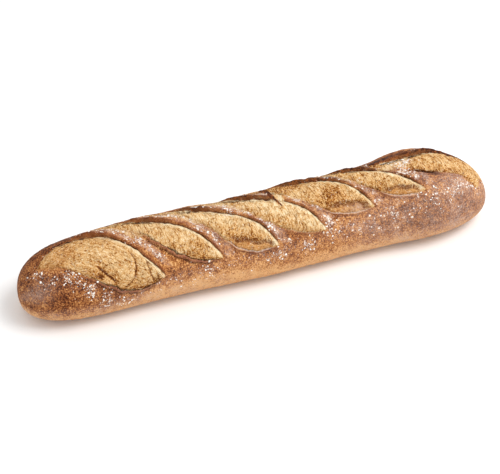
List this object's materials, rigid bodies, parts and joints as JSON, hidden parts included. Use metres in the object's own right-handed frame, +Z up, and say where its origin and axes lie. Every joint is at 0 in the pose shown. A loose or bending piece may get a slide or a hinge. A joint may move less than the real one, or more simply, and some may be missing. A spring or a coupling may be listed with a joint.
{
  "type": "sourdough baguette",
  "caption": "Whole uncut sourdough baguette: a long blunt-ended loaf with a flat sole and a row of slanted scores across the top, each opened into a bulging bed with a raised ear.",
  "frame": {"origin": "on the floor, under the middle of the loaf's box", "axes": "+X along the loaf towards its swollen end, -Y the front side that the scores run down to, +Z up from the sole"},
  "size_m": [0.43, 0.0872, 0.0701],
  "materials": {
    "crust": "matt baked bread crust, dusted with flour"
  },
  "bodies": {
    "root": {"loaf": "crust"}
  },
  "joints": []
}
